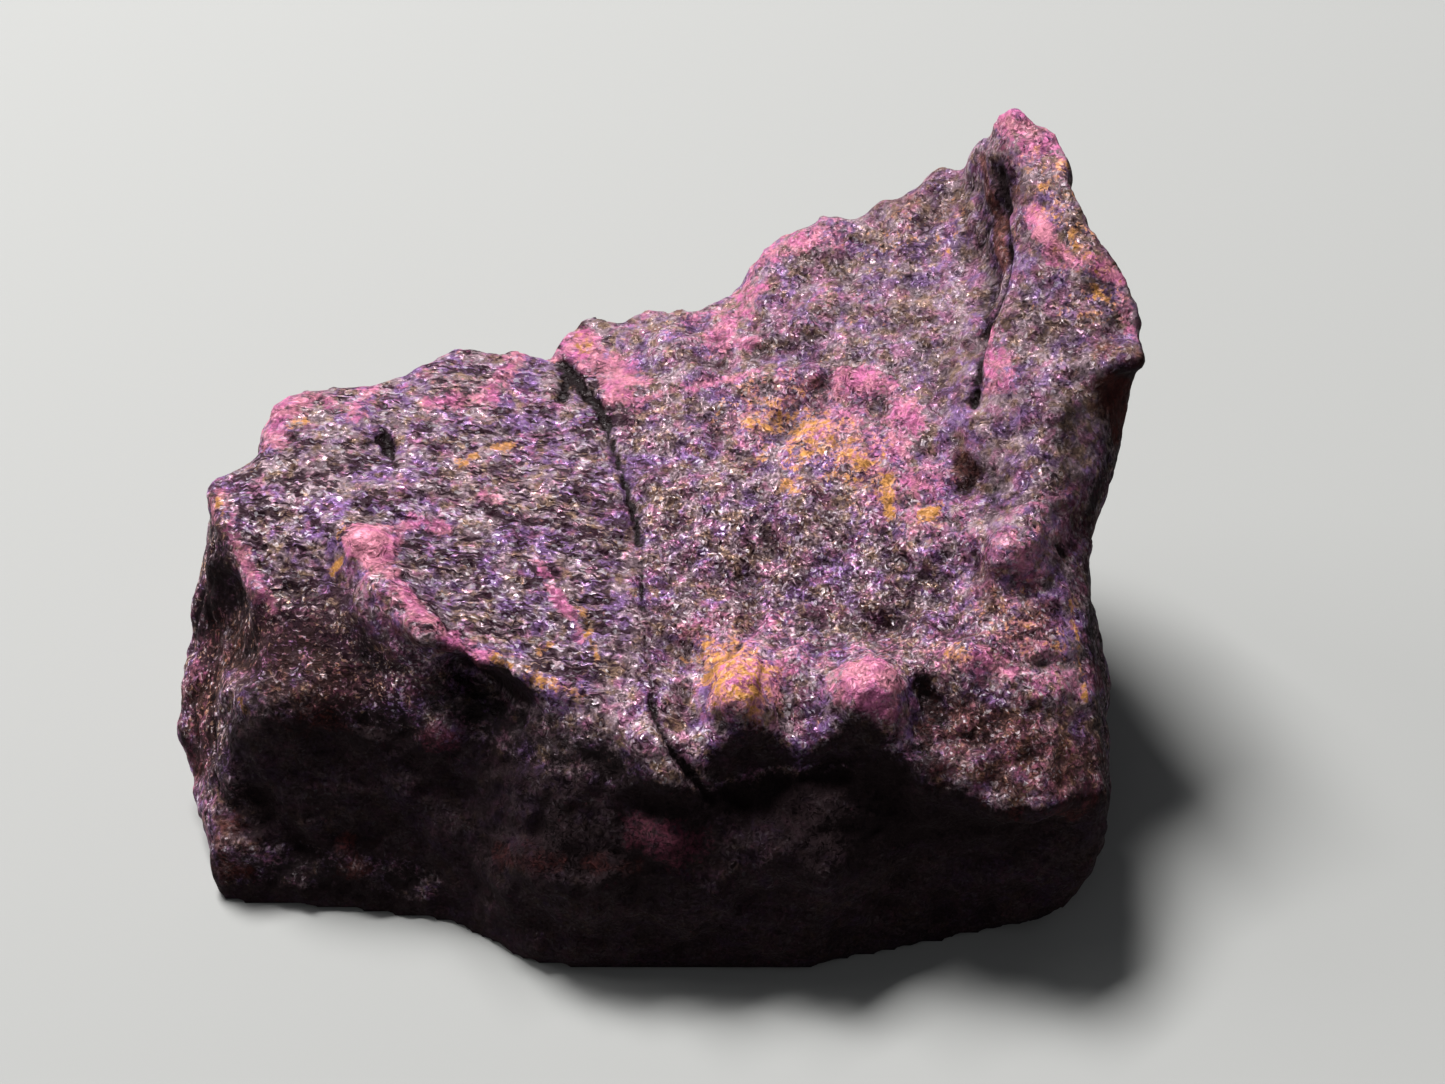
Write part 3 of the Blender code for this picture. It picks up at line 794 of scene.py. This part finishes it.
# %% Ochre that is seen
OCHRE = [
    (3.4, 0.52, (760, 415), (820, 435), (860, 470)),
    (2.6, 0.36, (1040, 170), (1080, 240), (1110, 300)),
    (2.6, 0.34, (990, 610), (1060, 640)),
    (2.6, 0.3, (880, 250), (940, 230)),
    (0.75, 1.0, (333, 570), (340, 560)),
    (0.5, 0.5, (342, 526), (338, 545)),
    (0.6, 0.85, (460, 464), (475, 456)),
    (0.6, 0.75, (495, 448), (510, 446)),
    (0.8, 0.62, (495, 660), (515, 668), (530, 672)),
    (0.5, 0.9, (540, 652), (550, 644)),
    (0.8, 0.62, (525, 674), (548, 686), (572, 692)),
    (0.4, 0.7, (578, 600), (588, 630), (598, 660)),
    (0.9, 0.75, (755, 425), (790, 432), (815, 425)),
    (0.7, 0.6, (740, 402), (728, 404)),
    (0.8, 0.75, (803, 425), (818, 450)),
    (1.0, 0.75, (835, 445), (850, 455), (865, 468)),
    (0.8, 0.85, (785, 482), (795, 492)),
    (0.7, 1.0, (887, 480), (890, 512)),
    (0.7, 0.95, (926, 513), (938, 508)),
    (1.6, 0.8, (716, 672), (730, 690), (742, 690)),
    (2.8, 0.72, (722, 655), (748, 680)),
    (1.4, 0.65, (750, 665), (768, 672)),
    (0.9, 0.7, (955, 648), (965, 655)),
    (0.8, 0.75, (1068, 235), (1078, 252)),
    (0.5, 0.9, (218, 500), (222, 515)),
    (0.7, 0.7, (240, 702), (245, 712)),
    (0.8, 0.6, (578, 340), (588, 350)),
    (0.7, 0.6, (290, 425), (305, 420)),
    (0.6, 0.8, (1098, 295), (1106, 298)),
    (0.3, 0.8, (1070, 600), (1078, 650), (1085, 700)),
]
print("strokes of ochre:", len(OCHRE))

# %% [markdown]
# Rust is dull and broad. It lies low on the wall, on the facet and the end at the left, on and below the
# horn, on the lumps at the front right, and in a few spots of the upper face.

# %% Rust that is seen
RUST = [
    (1.8, 0.7, (228, 830), (236, 866)),
    (1.3, 0.7, (345, 845), (350, 870)),
    (1.3, 0.6, (500, 856), (550, 862)),
    (1.3, 0.5, (600, 870), (640, 868)),
    (0.9, 0.9, (985, 160), (1000, 230), (1003, 270)),
    (1.3, 0.7, (1100, 352), (1130, 360)),
    (2.2, 0.9, (1110, 390), (1120, 430)),
    (1.4, 0.6, (960, 455), (968, 485)),
    (3.0, 0.35, (1010, 150), (1040, 230), (1080, 300)),
    (4.0, 0.65, (250, 640), (330, 690)),
    (3.0, 0.65, (190, 640), (200, 760)),
    (4.0, 0.75, (960, 730), (1080, 775)),
    (2.0, 0.6, (900, 200), (935, 205)),
    (1.6, 0.35, (870, 290), (940, 280)),
    (0.9, 0.8, (583, 335), (586, 352)),
    (3.0, 0.45, (1000, 600), (1060, 640)),
    (3.0, 0.5, (960, 720), (1080, 740)),
    (1.3, 0.3, (360, 495), (395, 500)),
    (2.0, 0.5, (380, 690), (330, 720)),
]
print("strokes of rust:", len(RUST))

# %% [markdown]
# The far sides have the same three stains, so the stone can be turned round. They are placed by bearing
# and elevation, in the same loose streaks and patches, some broad and faint.

# %% Stains on the far sides


def turned_path(*bearings):
    """The points of the skin at these (bearing, elevation) pairs."""
    return [at_bearing(*pair) for pair in bearings]


FAR_BLOOM = [
    (2.0, 0.8, (190, 48), (200, 38), (205, 25)),
    (1.8, 0.75, (160, 42), (150, 30), (147, 12)),
    (2.4, 0.7, (175, 20), (168, 8)),
    (1.7, 0.7, (220, 22), (228, 5)),
    (1.4, 0.6, (250, 20), (262, 12), (270, 14)),
    (1.7, 0.75, (120, 35), (112, 20), (100, 12)),
    (1.6, 0.6, (70, 5), (62, 12)),
    (1.8, 0.6, (135, 0), (128, 6)),
    (2.0, 0.6, (205, -10), (198, -2)),
    (5.0, 0.4, (150, 5), (180, 12), (210, 8)),
    (5.0, 0.4, (80, 20), (110, 5)),
]
FAR_OCHRE = [
    (1.3, 0.65, (182, 32), (186, 26)),
    (1.2, 0.6, (155, 18), (158, 10)),
    (1.1, 0.6, (212, 12), (215, 6)),
    (1.2, 0.6, (108, 26), (104, 20)),
    (0.9, 0.6, (240, 8), (238, 0)),
    (4.0, 0.4, (170, 20), (200, 15)),
]
FAR_RUST = [
    (2.6, 0.7, (172, -8), (180, -12), (190, -12)),
    (2.4, 0.6, (145, -12), (138, -8)),
    (2.2, 0.6, (95, -4), (85, -8)),
    (2.0, 0.7, (262, -12), (272, -14)),
    (2.0, 0.6, (225, -15), (232, -10)),
]
bloom = stain(strokes_from(BLOOM) + strokes_from(FAR_BLOOM, turned_path))
ochre = stain(strokes_from(OCHRE) + strokes_from(FAR_OCHRE, turned_path))
rust = stain(strokes_from(RUST) + strokes_from(FAR_RUST, turned_path))
print("stained points:", [int((kind > 0.3).sum()) for kind in (bloom, ochre, rust)])

# %% [markdown]
# ## The finished mesh
#
# The skin becomes the piece that is shown, and what was measured on it goes along as point attributes for
# the material. Image maps could hold the same, but they need a UV map and have seams. The shares of plane
# and end are kept too, because the material's grains are stretched there.

# %% Mesh and attributes
shares = np.array([
    face_shares(Vector(point) / MM, Vector(normal)) for point, normal in zip(places, calm_normals)
])
stone_mesh = bpy.data.meshes.new("stone_skin")
skin.to_mesh(stone_mesh)
skin.free()
stone = linked("stone_skin", stone_mesh)
measured = {
    "ridge": ridge, "wall_shade": wall_shade, "calm": calmed, "gappy": gaps, "shade": shade,
    "striated": shares[:, 0], "ribbed": shares[:, 1],
    "bloom": bloom, "ochre": ochre, "rust": rust,
}
for name, values in measured.items():
    layer = stone_mesh.attributes.new(name, "FLOAT", "POINT")
    layer.data.foreach_set("value", np.asarray(values, np.float32))
stone_mesh.shade_smooth()
stone_mesh.calc_loop_triangles()
print("triangles:", len(stone_mesh.loop_triangles), "attributes:", list(measured))

# %% [markdown]
# ## Shader maths as Python
#
# Node trees are hard to read once they hold more than a few Math nodes. One small class wraps a socket,
# and its operators add the Math nodes, so that a mask is written as a formula. Everything that isn't
# arithmetic is made by its node method, which takes the kind of node, its settings and its inputs.

# %% One class for sockets


class Wire:
    """A socket of a material's nodes that Python's operators work on."""

    def __init__(self, tree, socket=None):
        self.tree = tree
        self.socket = socket

    def node(self, kind, settings=None, inputs=None, output=0):
        """A new node: its settings are set first, then its inputs are filled with values or wires."""
        made = self.tree.nodes.new(kind)
        for name, value in (settings or {}).items():
            setattr(made, name, value)
        for name, value in (inputs or {}).items():
            if isinstance(value, Wire):
                self.tree.links.new(value.socket, made.inputs[name])
            else:
                made.inputs[name].default_value = value
        return Wire(self.tree, made.outputs[output])

    def maths(self, operation, first, second, clamp=False):
        settings = {"operation": operation, "use_clamp": clamp}
        return self.node("ShaderNodeMath", settings, {0: first, 1: second})

    def __add__(self, other):
        return self.maths("ADD", self, other)

    def __sub__(self, other):
        return self.maths("SUBTRACT", self, other)

    def __mul__(self, other):
        return self.maths("MULTIPLY", self, other)

    def __rsub__(self, other):
        return self.maths("SUBTRACT", other, self)

    def __truediv__(self, other):
        return self.maths("DIVIDE", self, other)

    __radd__ = __add__
    __rmul__ = __mul__

    def clamped(self):
        """The value kept between 0 and 1."""
        return self.maths("ADD", self, 0.0, clamp=True)

    def ramp(self, start, end):
        """0 up to the start, 1 from the end, and even in between."""
        return ((self - start) / (end - start)).clamped()


print("methods of a wire:", [name for name in vars(Wire) if not name.startswith("__")])

# %% [markdown]
# Colours and vectors have nodes of their own, because a Math node would turn them grey. These helpers name
# the ones that the stone needs.

# %% Colour and vector helpers
purpurite = bpy.data.materials.new("purpurite")
purpurite.use_nodes = True
nodes = purpurite.node_tree.nodes
links = purpurite.node_tree.links
wires = Wire(purpurite.node_tree)
# A Mix node has its sockets once for each kind of value, and these are the ones for colours.
MIX_SHARE = 0
MIX_FIRST = 6
MIX_SECOND = 7
MIX_RESULT = 2


def opaque(colour):
    return colour if isinstance(colour, Wire) else (*colour, 1)


def mixed(share, first, second):
    """From the first colour to the second as the share goes from 0 to 1."""
    inputs = {MIX_SHARE: share, MIX_FIRST: opaque(first), MIX_SECOND: opaque(second)}
    return wires.node("ShaderNodeMix", {"data_type": "RGBA"}, inputs, MIX_RESULT)


def times(vector, factor):
    """A vector with its length, or a colour with its brightness, multiplied."""
    return wires.node("ShaderNodeVectorMath", {"operation": "SCALE"}, {0: vector, "Scale": factor})


def plus(vector, other):
    return wires.node("ShaderNodeVectorMath", {"operation": "ADD"}, {0: vector, 1: other})


def centred(colour):
    """A random colour as a vector that points any way: its numbers go from -0.5 to 0.5."""
    return plus(colour, (-0.5, -0.5, -0.5))


def channel(colour, index):
    """The red, green or blue number of a colour, for an index of 0, 1 or 2."""
    return wires.node("ShaderNodeSeparateColor", {}, {0: colour}, index)


def attribute(name):
    return wires.node("ShaderNodeAttribute", {"attribute_name": name}, output="Fac")


print("helpers for the material:", purpurite.name)

# %% [markdown]
# Patterns are noise and cells at a size in millimetres. They read Object coordinates, so they fill the
# stone like real rock and have no seams, where a pattern on a UV map would be cut at each island's edge.
# A seed moves a pattern elsewhere, so that two of them don't match.

# %% Pattern helpers
SEED_WAY = (1.0, 0.7, 1.3)


def shifted(place, seed):
    return plus(place, [seed * share for share in SEED_WAY])


def blotches(place, size, detail=2.0, seed=0.0, roughness=0.6):
    """Soft noise from 0 to 1 with features of about that size in millimetres."""
    inputs = {"Vector": shifted(place, seed), "Scale": 1 / size, "Detail": detail, "Roughness": roughness}
    return wires.node("ShaderNodeTexNoise", {}, inputs)


def cells(place, size, seed=0.0):
    """A random colour for each grain of that size: its three channels are three random numbers."""
    inputs = {"Vector": shifted(place, seed), "Scale": 1 / size}
    return wires.node("ShaderNodeTexVoronoi", {}, inputs, "Color")


def squeezed(place, scale, turn=0.0):
    """The place in a frame stretched along some axes and turned about Z, for long thin grains."""
    inputs = {"Vector": place, "Rotation": (0, 0, turn), "Scale": scale}
    return wires.node("ShaderNodeMapping", {"vector_type": "TEXTURE"}, inputs)


place = times(wires.node("ShaderNodeTexCoord", output="Object"), 1 / MM)
print("nodes so far:", len(nodes))

# %% [markdown]
# ## The purpurite
#
# Seen close, the stone is matted fibres with black gaps between them. Real strands would be far too many,
# so a noise makes them, squeezed along the fibres. They lie along the steps on the cleavage plane, stand
# upright on the ends, and run every way on the rest, so there are three frames for one noise. A slow
# wobble bends them all a little.

# %% The three ways that fibres run
WOBBLE_SCALE = 1.6
SWAY = 0.6
DASH_STRETCH = (2.0, 1.0, 1.0)
NEEDLE_STRETCH = (1.0, 1.0, 2.4)
wobble_inputs = {"Vector": place, "Scale": WOBBLE_SCALE, "Detail": 1.0}
wobble = wires.node("ShaderNodeTexNoise", {}, wobble_inputs, "Color")
swayed = plus(place, times(centred(wobble), SWAY))
along_steps = squeezed(swayed, DASH_STRETCH, STEP_SLANT)
upright = squeezed(swayed, NEEDLE_STRETCH)
striated = attribute("striated")
ribbed = attribute("ribbed") * (1 - striated)
matted = (1 - striated - ribbed).clamped()
print("nodes with the frames:", len(nodes))

# %% [markdown]
# Thin dark seams run over the stone, longest along the steps. A noise is at its middle value along fine
# lines, so a seam is drawn where it is close to 0.5. A second, softer noise hides most of each line.

# %% Dark seams
SEAM_STRETCH = (6.0, 1.0, 1.0)
seam_noise = blotches(squeezed(swayed, SEAM_STRETCH, STEP_SLANT), size=0.7, detail=2.0, seed=61.0) - 0.5
seam = (1 - (seam_noise * seam_noise).ramp(0.001, 0.006)) * (striated * 0.45 + 0.5)
seam = seam * blotches(place, size=1.8, detail=3.0, seed=67.0).ramp(0.46, 0.56)
print("nodes with the seams:", len(nodes))

# %% [markdown]
# High values of the fibres' noise are crests and low ones are gaps, which are painted black as shade.
# Where the stone is gappy only the highest values are crests, with hard edges, and where it is calm the
# gaps are paler.

# %% Fibres and gaps
FIBRE_WIDTH = 0.26
SEAM_DEPTH = 0.15
CLOSE_CRESTS = (0.32, 0.68)
OPEN_CRESTS = (0.515, 0.63)


def fibres(place):
    return blotches(place, FIBRE_WIDTH, detail=3.0, seed=7.0, roughness=0.65)


relief = fibres(along_steps) * striated + fibres(upright) * ribbed + fibres(swayed) * matted
relief = relief - seam * SEAM_DEPTH
gappy = attribute("gappy")
calm = attribute("calm")
crest = relief.ramp(*CLOSE_CRESTS) * (1 - gappy) + relief.ramp(*OPEN_CRESTS) * gappy
crest = crest * (1 - calm * 0.4) + calm * 0.19
print("nodes with the fibres:", len(nodes))

# %% [markdown]
# Here and there a fibre ends in a flat cleavage grain like a small mirror. A mesh of them would have
# millions of faces, so they are a Voronoi pattern, stretched as the fibres are. Each has three random
# numbers, for its luck, its brightness and its gloss, and the three together are its tilt. Larger grains
# give neighbours a tilt that they share.

# %% Cleavage grains
GRAIN_WIDTH = 0.17
LARGE_GRAIN_WIDTH = 0.8
dashes = cells(along_steps, GRAIN_WIDTH)
needles = cells(upright, GRAIN_WIDTH)
specks = cells(swayed, GRAIN_WIDTH)
grains = mixed(ribbed, mixed(striated, specks, dashes), needles)
large_grains = cells(swayed, LARGE_GRAIN_WIDTH, seed=4.0)
luck = channel(grains, 0)
brightness = channel(grains, 1)
gloss = channel(grains, 2)
print("nodes with the grains:", len(nodes))

# %% [markdown]
# The masks decide what a grain is made of. A stain mixed in by its share would be a soft airbrushed spot.
# Instead the share is added to noise, and for bloom to the ridge too, and only what comes out high is
# coloured: a faint stain colours a few flecks and a strong one nearly all.

# %% Masks for bloom, ochre and rust
# From which sum a stain begins to show, and from which it covers all.
BLOOM_SHOWS = (0.26, 0.8)
OCHRE_SHOWS = (0.34, 0.72)
RUST_SHOWS = (0.3, 0.8)
ridge_share = attribute("ridge")
patch = blotches(place, size=2.0, detail=4.0, seed=3.0)
fine_patch = blotches(place, size=0.45, detail=4.0, seed=9.0)
ochre_patch = blotches(place, size=1.0, detail=4.0, seed=21.0)
rust_patch = blotches(place, size=2.4, detail=4.0, seed=33.0)
bloom_here = attribute("bloom") * 1.2 + (ridge_share - 0.5) * 0.3 + (patch - 0.5) * 0.9
bloom_mask = (bloom_here + (fine_patch - 0.5) * 1.8 - luck * 0.3).ramp(*BLOOM_SHOWS)
ochre_here = attribute("ochre") * 1.15 + (ochre_patch - 0.5) * 1.7 + (fine_patch - 0.5) * 2.0
ochre_mask = (ochre_here - luck * 0.35).ramp(*OCHRE_SHOWS)
rust_here = attribute("rust") * 1.1 + (rust_patch - 0.5) * 1.2 + (fine_patch - 0.5) * 0.5
rust_mask = rust_here.ramp(*RUST_SHOWS)
print("nodes with the masks:", len(nodes))

# %% [markdown]
# The painted shade, in the hollows, under edges and on the walls, has soft edges too. Where such a share
# is between 0 and 1, noise and a grain's luck push it up or down, so the edge breaks up grain by grain and
# doesn't look sprayed on.

# %% Masks for painted shade


def broken(share):
    """The share with its soft edge broken up, and left alone where it is 0 or 1."""
    edge = share * (1 - share) * 4.0
    return (share + (fine_patch - 0.5) * edge * 1.6 - (luck - 0.5) * edge * 0.3).ramp(0.12, 0.88)


# Painted shade in the hollows: the lower a point lies below the smoothed skin, the darker.
hollow_shade = (0.45 - ridge_share).ramp(0.0, 0.4)
painted_shade_share = (broken(attribute("shade")) * 0.95 + hollow_shade * 0.5).clamped()
# Painted shade on the steep walls.
wall_shade_mask = broken(attribute("wall_shade"))
print("nodes with the dust:", len(nodes))

# %% [markdown]
# A crest is grey mauve, violet, plum or umber, each in patches of its own, because one colour with a
# change of brightness looks painted. A slow drift makes violet and umber take turns. Between the crests it
# is painted black, as the shade that lies in the gaps, and on the high ground a little ash lies over all.

# %% Colours of the fibres
GAP_SHADE_BLACK = (0.030, 0.010, 0.018)
GREY_MAUVE = (0.45, 0.31, 0.35)
VIOLET = (0.28, 0.145, 0.365)
PLUM = (0.48, 0.15, 0.28)
UMBER = (0.33, 0.20, 0.10)
ASH = (0.34, 0.29, 0.33)

drift = (blotches(place, size=3.5, detail=2.0, seed=45.0) - 0.5) * 0.5
violet_patch = blotches(place, size=1.3, detail=5.0, seed=41.0) + drift
plum_patch = blotches(place, size=1.0, detail=5.0, seed=43.0) - striated * 0.03
umber_patch = blotches(place, size=0.9, detail=5.0, seed=47.0) - drift * 0.5 + calm * 0.03 + gappy * 0.07
fibre_colour = mixed(violet_patch.ramp(0.45, 0.6), GREY_MAUVE, VIOLET)
fibre_colour = mixed(plum_patch.ramp(0.49, 0.6) * 0.7, fibre_colour, PLUM)
fibre_colour = mixed(umber_patch.ramp(0.52, 0.64) * 0.8, fibre_colour, UMBER)
fibre_colour = mixed(calm * 0.1, fibre_colour, ASH)
shading = blotches(place, size=1.5, detail=4.0, seed=71.0).ramp(0.3, 0.7) * 0.8 + 0.86
# Where the fibres lie open the crests are painted brighter, as painted highlights, and on the high ground
# darker.
shading = shading + gappy * 0.3 - calm * 0.16
rock = mixed(crest * (1 - seam), GAP_SHADE_BLACK, times(fibre_colour, shading))
print("nodes with the fibres' colours:", len(nodes))

# %% [markdown]
# Rust, bloom and ochre lie over the fibres. The bloom goes from a cold magenta to a warm rose, and the
# ochre is more orange where it is thin. Each stain is painted darker in the gaps, as the shade that lies
# there, and only where the bloom is thickest is it caked so that the gaps fill up and less of it shows.

# %% Colours of the stains
RUST_BROWN = (0.24, 0.085, 0.05)
MAGENTA = (0.70, 0.18, 0.39)
ROSE = (0.78, 0.28, 0.38)
ORANGE = (0.84, 0.38, 0.22)
DEEP_OCHRE = (0.66, 0.30, 0.09)

pink = mixed(blotches(place, size=1.6, detail=3.0, seed=51.0).ramp(0.42, 0.58), MAGENTA, ROSE)
gold = mixed(ochre_here.ramp(0.5, 1.0), ORANGE, DEEP_OCHRE)
caked = attribute("bloom").ramp(0.9, 1.3) * 0.35
# Each grain's own tone, times painted shade in the gaps between the crests.
grain_tone_and_gap_shade = (brightness * 0.5 + 0.75) * (crest * 0.65 + 0.44 + caked)
rock = mixed(rust_mask * 0.8, rock, times(RUST_BROWN, grain_tone_and_gap_shade * crest.ramp(-0.3, 1.0) * 1.3))
rock = mixed(bloom_mask * 0.9, rock, times(pink, grain_tone_and_gap_shade))
rock = mixed(ochre_mask, rock, times(gold, grain_tone_and_gap_shade))
print("nodes with the stains' colours:", len(nodes))

# %% [markdown]
# Painted glints come next: the brightest grains are painted lilac white as highlights, on bare crests more
# than under powder. Last comes the painted shade in the hollows, under edges and on the walls. It is
# nearly black, with a breath of red over rust and of plum over bloom, so that a stained wall isn't dead
# black.

# %% Painted glints and painted shade
GLINT_LILAC_WHITE = (0.82, 0.77, 0.84)
SHADE_BLACK = (0.009, 0.004, 0.005)
SHADE_RED = (0.060, 0.012, 0.010)
SHADE_PLUM = (0.070, 0.014, 0.026)

bare = (1 - (bloom_mask + ochre_mask).clamped() * 0.6) * (1 - calm * 0.5)
painted_glint = (brightness + gappy * 0.08).ramp(0.86, 0.97) * crest * bare
rock = mixed(painted_glint * 0.72, rock, GLINT_LILAC_WHITE)
painted_shade = mixed(rust_mask * crest, SHADE_BLACK, SHADE_RED)
painted_shade = mixed(bloom_mask * crest, painted_shade, SHADE_PLUM)
# Painted shade over hollows, cracks and under edges; the cleavage plane is also made a little darker.
rock = mixed(painted_shade_share, times(rock, 1 - striated * 0.15), painted_shade)
# Painted shade on the walls.
rock = mixed(wall_shade_mask * 0.96, rock, painted_shade)
surface = nodes["Principled BSDF"]
links.new(rock.socket, surface.inputs["Base Color"])
print("nodes with the base colour:", len(nodes))

# %% [markdown]
# Gloss makes the stone glitter. Some grains away from powder and walls are smooth and mirror the lamp, and
# some crests have a metallic sheen, which gives violet sparks. Bloom, ochre and rust are powder and stay
# dull, and so do the walls under their painted shade. The plain reflection is set low, because at its
# usual strength it lies over the dark parts like a grey veil.

# %% Gloss
SPECULAR_LEVEL = 0.12
powder = (bloom_mask * 0.7 + ochre_mask * 0.8 + rust_mask * 0.5).clamped()
unpowdered_off_walls = (1 - powder) * (1 - wall_shade_mask)
glossy = gloss.ramp(0.6, 0.95) * unpowdered_off_walls
metallic = crest * gloss.ramp(0.35, 0.8) * unpowdered_off_walls * 0.5
roughness = 0.62 - glossy * 0.42 + powder * 0.25 + wall_shade_mask * 0.3
links.new(roughness.socket, surface.inputs["Roughness"])
links.new(metallic.socket, surface.inputs["Metallic"])
surface.inputs["Specular IOR Level"].default_value = SPECULAR_LEVEL
print("nodes with the gloss:", len(nodes))

# %% [markdown]
# Each grain is tilted its own way. The tilt is added to the normal itself, because a Bump node only knows
# heights and would round the grains off. The Bump node gets the fibres, whose gaps are too fine for the
# mesh, and under powder the tilt is less.

# %% Fibre relief and tilt
FIBRE_DEPTH = 0.1 * MM
GRAIN_TILT = 0.8
LARGE_GRAIN_TILT = 0.3
tilts = plus(times(centred(grains), GRAIN_TILT), times(centred(large_grains), LARGE_GRAIN_TILT))
bump = wires.node("ShaderNodeBump", {}, {"Strength": 1.0, "Distance": FIBRE_DEPTH, "Height": relief})
tilted = plus(bump, times(tilts, 1 - powder * 0.6))
normal = wires.node("ShaderNodeVectorMath", {"operation": "NORMALIZE"}, {0: tilted})
links.new(normal.socket, surface.inputs["Normal"])
print("nodes in all:", len(nodes))

# %% [markdown]
# ## Joining the frame
#
# The finished skin takes the place of the measured block, which is hidden, rides on the stone's one body,
# and gets the purpurite material.

stone_mesh.materials.append(purpurite)
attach(stone, "root")
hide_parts("purpurite_stone")
